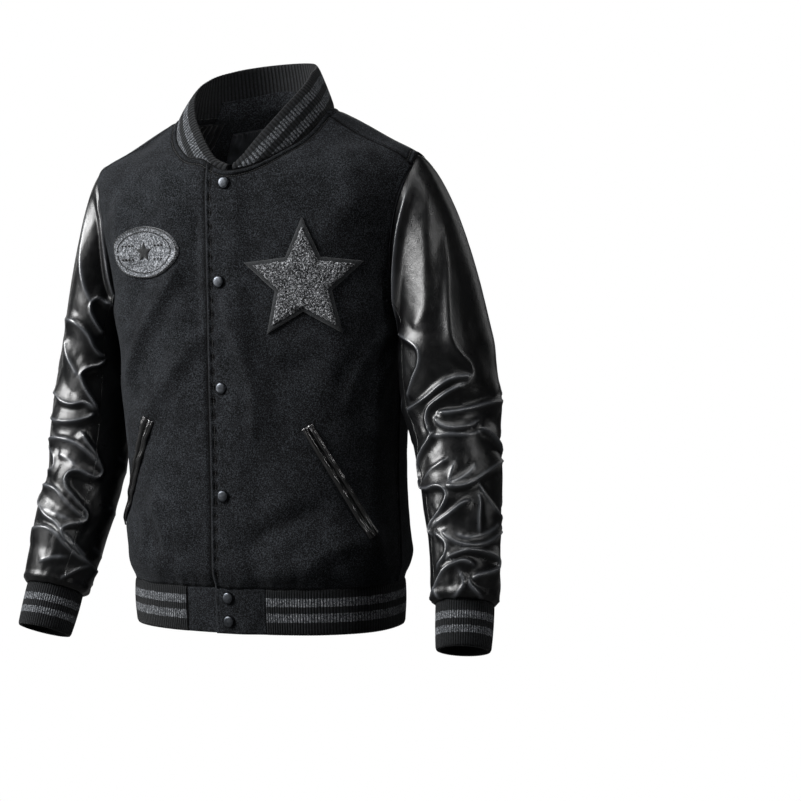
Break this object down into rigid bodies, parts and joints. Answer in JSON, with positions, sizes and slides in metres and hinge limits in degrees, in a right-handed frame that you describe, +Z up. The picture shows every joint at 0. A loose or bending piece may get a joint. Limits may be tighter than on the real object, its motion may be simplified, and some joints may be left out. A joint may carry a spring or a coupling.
{
  "type": "varsity jacket",
  "caption": "Hip-length wool-bodied jacket with glossy leather sleeves, striped rib collar, cuffs and hem, a snap front and slanted pockets, filled out as if worn.",
  "frame": {"origin": "base of the neck, midway between the two points where the shoulder ridges meet the collar, where a hanger or a form holds the jacket", "axes": "+Z up through the neck, front faces -Y, +X towards the wearer's left"},
  "size_m": [0.6577, 0.2879, 0.736],
  "materials": {
    "wool": "matt wool melton",
    "leather": "glossy smooth leather",
    "knit": "matt rib knit with heather grey stripes",
    "pile": "looped chenille pile",
    "felt": "matt felt",
    "badge": "stitched felt",
    "snap_metal": "dark polished cap with a bright rim",
    "lining": "glossy quilted lining",
    "satin": "satin"
  },
  "bodies": {
    "root": {"front_left": "wool", "front_right": "wool", "back": "wool", "back_yoke": "wool", "sleeve_left_outer": "leather", "sleeve_left_under": "leather", "sleeve_right_outer": "leather", "sleeve_right_under": "leather", "collar": "knit", "cuff_left": "knit", "cuff_right": "knit", "hem_rib": "knit", "hem_tab_left": "wool", "hem_tab_right": "wool", "welt_left": "leather", "welt_right": "leather", "star_felt": "felt", "star_pile": "pile", "badge_felt": "badge", "badge_star": "felt", "snap_1": "snap_metal", "snap_2": "snap_metal", "snap_3": "snap_metal", "snap_4": "snap_metal", "snap_5": "snap_metal", "snap_6": "snap_metal", "back_facing": "wool", "label": "satin", "lining_left": "lining", "lining_right": "lining"}
  },
  "joints": []
}
